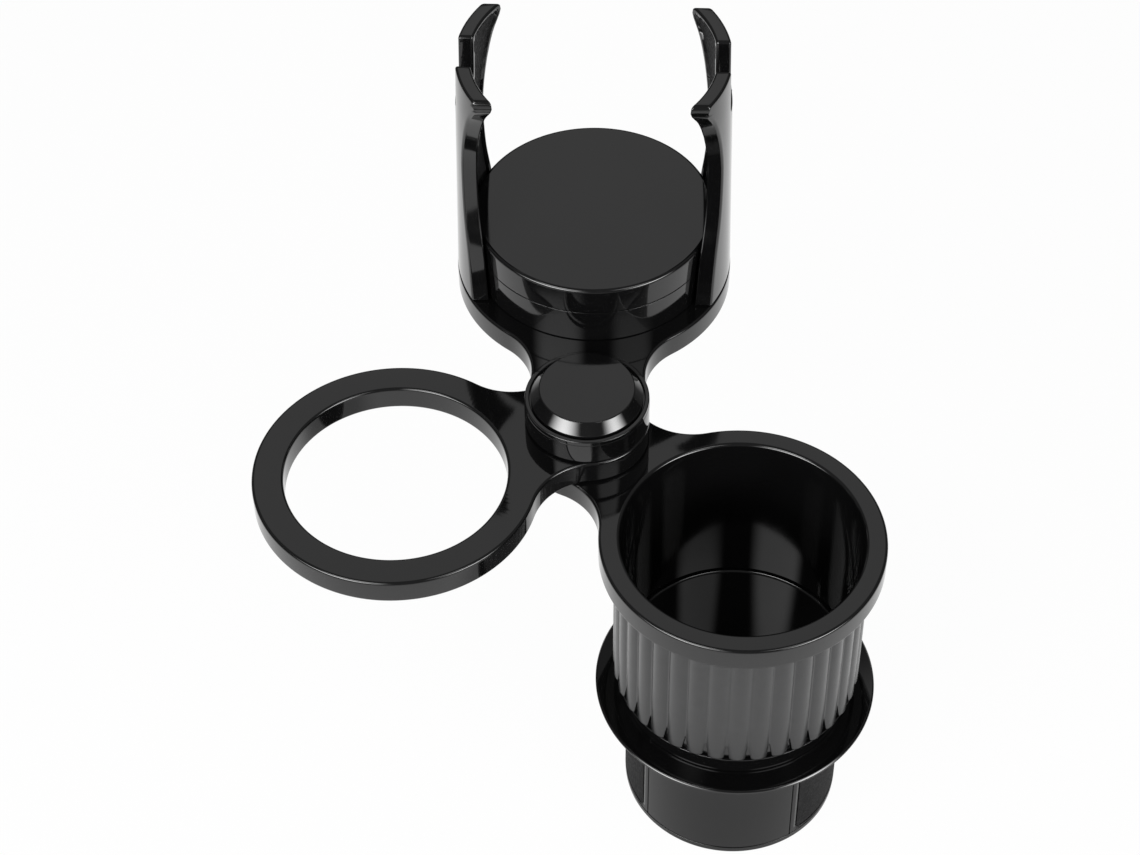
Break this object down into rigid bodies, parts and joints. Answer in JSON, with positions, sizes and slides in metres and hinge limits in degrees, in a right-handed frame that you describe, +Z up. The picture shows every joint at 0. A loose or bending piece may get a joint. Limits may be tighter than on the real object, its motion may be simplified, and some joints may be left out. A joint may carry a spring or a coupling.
{
  "type": "cup holder expander",
  "caption": "Car cup holder expander: expanding base with a ribbed twist grip and a deep cup, plus swinging arms with an open ring and a clawed bottle platform.",
  "frame": {"origin": "centre of the base's underside, on the cup's axis", "axes": "+Z up along the cup's axis; +Y along the platform arm, from the pivot to the platform's centre; +X to the right, in the direction the right claw opens"},
  "size_m": [0.1963, 0.1918, 0.2232],
  "materials": {
    "gloss_black": "high-gloss moulded black plastic",
    "satin_grey": "satin dark grey plastic",
    "rubber_pad": "textured soft rubber",
    "steel": "zinc-plated steel",
    "nylon": "natural nylon"
  },
  "bodies": {
    "base": {"bottom_cover": "gloss_black", "base_shell": "gloss_black", "cover_screw_front": "steel", "cover_screw_rear": "steel", "cup_screw_1": "steel", "cup_screw_2": "steel", "cup_screw_3": "steel", "cup_arm": "gloss_black", "pivot_bolt": "steel", "pivot_nut": "steel", "spring_washer": "steel"},
    "twist_grip": {"ribbed_sleeve": "satin_grey", "drive_collar": "gloss_black"},
    "right_foot": {"foot_right": "gloss_black", "foot_pad_right": "rubber_pad"},
    "left_foot": {"foot_left": "gloss_black", "foot_pad_left": "rubber_pad"},
    "ring_holder": {"ring_arm": "gloss_black", "lower_friction_washer": "nylon"},
    "platform": {"platform_arm": "gloss_black", "upper_friction_washer": "nylon", "hub_cap": "gloss_black", "pedestal_drum": "gloss_black", "pedestal_lid": "gloss_black", "lid_screw_1": "steel", "lid_screw_2": "steel", "lid_screw_3": "steel", "lid_screw_4": "steel"},
    "pinion_gear": {"pinion": "nylon"},
    "left_claw": {"claw_left": "gloss_black", "claw_pad_left": "rubber_pad"},
    "right_claw": {"claw_right": "gloss_black", "claw_pad_right": "rubber_pad"}
  },
  "joints": [
    {"name": "grip_twist", "type": "hinge", "parent": "base", "child": "twist_grip", "pos_m": [0, 0, 0.0525], "axis": [0, 0, 1], "range_deg": [0, 100]},
    {"name": "right_foot_slide", "type": "slide", "parent": "base", "child": "right_foot", "axis": [0.9898, -0.1426, 0], "range_m": [0, 0.01]},
    {"name": "left_foot_slide", "type": "slide", "parent": "base", "child": "left_foot", "axis": [-0.9898, 0.1426, 0], "range_m": [0, 0.01]},
    {"name": "ring_swing", "type": "hinge", "parent": "base", "child": "ring_holder", "pos_m": [-0.049, 0.0396, 0.12455], "axis": [0, 0, 1], "continuous": true},
    {"name": "platform_swing", "type": "hinge", "parent": "base", "child": "platform", "pos_m": [-0.049, 0.0396, 0.13335], "axis": [0, 0, 1], "continuous": true},
    {"name": "left_claw_slide", "type": "slide", "parent": "platform", "child": "left_claw", "axis": [-1, 0, 0], "range_m": [0, 0.012]},
    {"name": "right_claw_slide", "type": "slide", "parent": "platform", "child": "right_claw", "axis": [1, 0, 0], "range_m": [0, 0.012]},
    {"name": "pinion_spin", "type": "hinge", "parent": "platform", "child": "pinion_gear", "pos_m": [-0.049, 0.1026, 0.1414], "axis": [0, 0, 1], "range_deg": [0, 98.3]}
  ],
  "couplings": [
    {"joint": "right_foot_slide", "follows": "grip_twist", "m_per_rad": 0.00573},
    {"joint": "left_foot_slide", "follows": "grip_twist", "m_per_rad": 0.00573},
    {"joint": "right_claw_slide", "follows": "left_claw_slide", "ratio": 1},
    {"joint": "pinion_spin", "follows": "left_claw_slide", "rad_per_m": 142.86}
  ]
}
